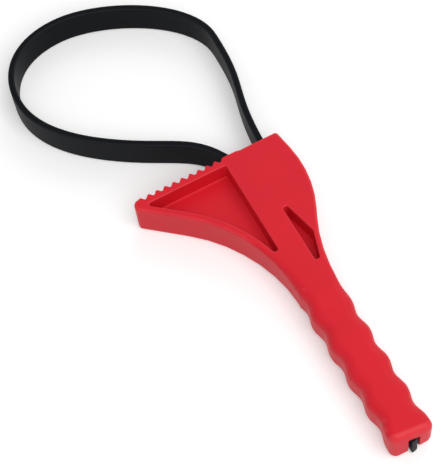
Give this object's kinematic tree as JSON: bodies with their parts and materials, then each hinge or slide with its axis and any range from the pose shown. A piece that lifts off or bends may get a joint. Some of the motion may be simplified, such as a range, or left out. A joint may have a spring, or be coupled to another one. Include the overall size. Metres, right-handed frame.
{
  "type": "oil filter wrench",
  "caption": "Strap-type oil filter wrench: moulded handle with toothed jaw, pocketed head and finger-wave grip, and a rubber strap whose loop tightens as its tail is pulled.",
  "frame": {"origin": "under the middle of the tool's outline, in the plane of the flat rear face that it lies on", "axes": "+Y along the handle from the end of the grip to the head and on to the strap's loop, +Z out of the front face, -X towards the tip of the toothed jaw"},
  "size_m": [0.1392, 0.381, 0.025],
  "materials": {
    "handle_plastic": "semi-gloss red moulded plastic",
    "strap_rubber": "matt black reinforced rubber",
    "pin_steel": "plain turned steel"
  },
  "bodies": {
    "handle": {"handle": "handle_plastic", "strap_anchor_pin": "pin_steel", "strap_fixed_end": "strap_rubber", "strap_right_strand": "strap_rubber", "strap_left_strand": "strap_rubber", "strap_entry_bend": "strap_rubber"},
    "strap_leader": {"strap_leader": "strap_rubber"},
    "strap_crown": {"strap_crown": "strap_rubber"}
  },
  "joints": [
    {"name": "strap_pull", "type": "slide", "parent": "handle", "child": "strap_leader", "axis": [0, -1, 0], "range_m": [0, 0.085], "deforming": ["strap_entry_bend"]},
    {"name": "crown_draw", "type": "slide", "parent": "handle", "child": "strap_crown", "axis": [0, -1, 0], "range_m": [0, 0.051], "deforming": ["strap_right_strand", "strap_left_strand"]}
  ],
  "couplings": [
    {"joint": "crown_draw", "follows": "strap_pull", "ratio": 0.6}
  ]
}
